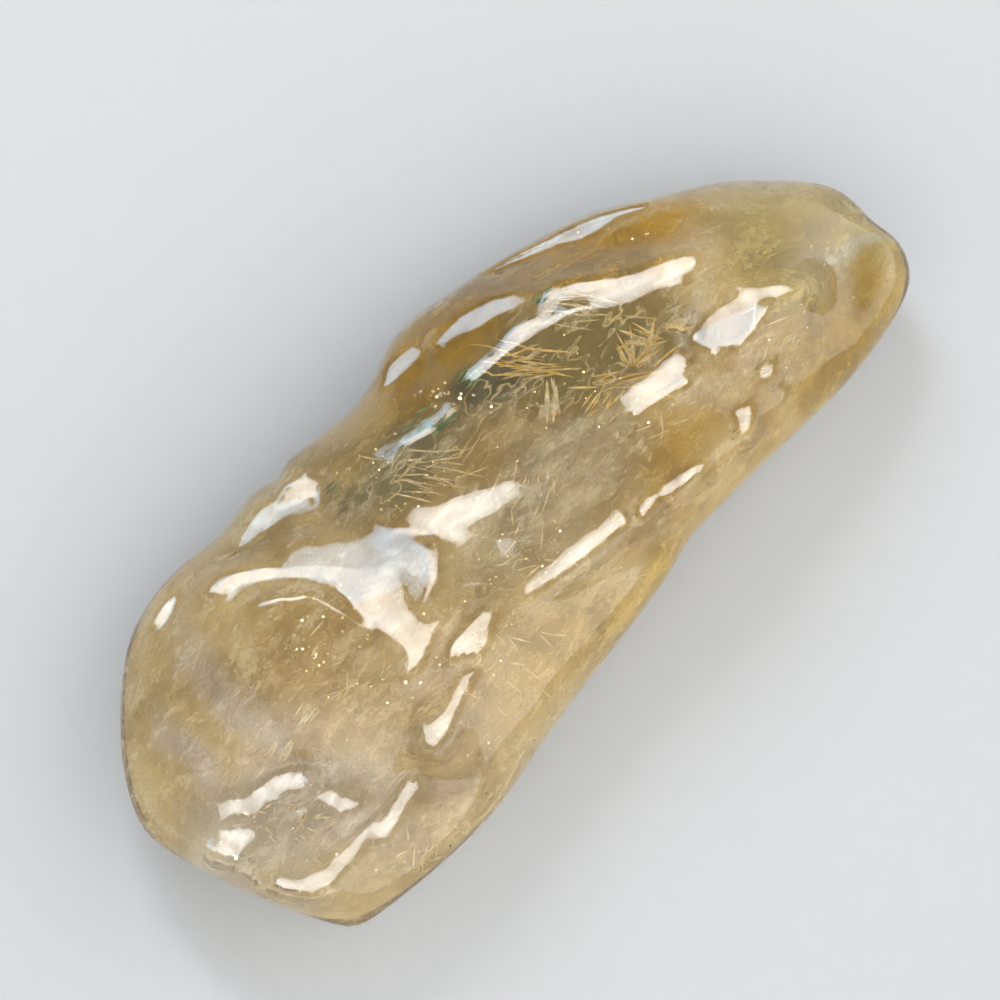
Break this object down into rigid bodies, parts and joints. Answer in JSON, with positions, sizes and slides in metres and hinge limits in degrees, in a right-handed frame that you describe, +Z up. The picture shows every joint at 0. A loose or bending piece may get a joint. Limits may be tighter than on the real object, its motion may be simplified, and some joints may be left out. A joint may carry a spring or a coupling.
{
  "type": "polished prasiolite stone",
  "caption": "Polished freeform piece of clear olive-yellow quartz, long and lobed, lying on its flat side.",
  "frame": {"origin": "middle of the stone's box, on the surface that it lies on", "axes": "+X runs along the stone towards its lobed tip, +Y across it towards the notched edge, +Z up"},
  "size_m": [0.0626, 0.0266, 0.0142],
  "materials": {
    "clear_quartz": "polished"
  },
  "bodies": {
    "root": {"prasiolite": "clear_quartz"}
  },
  "joints": []
}
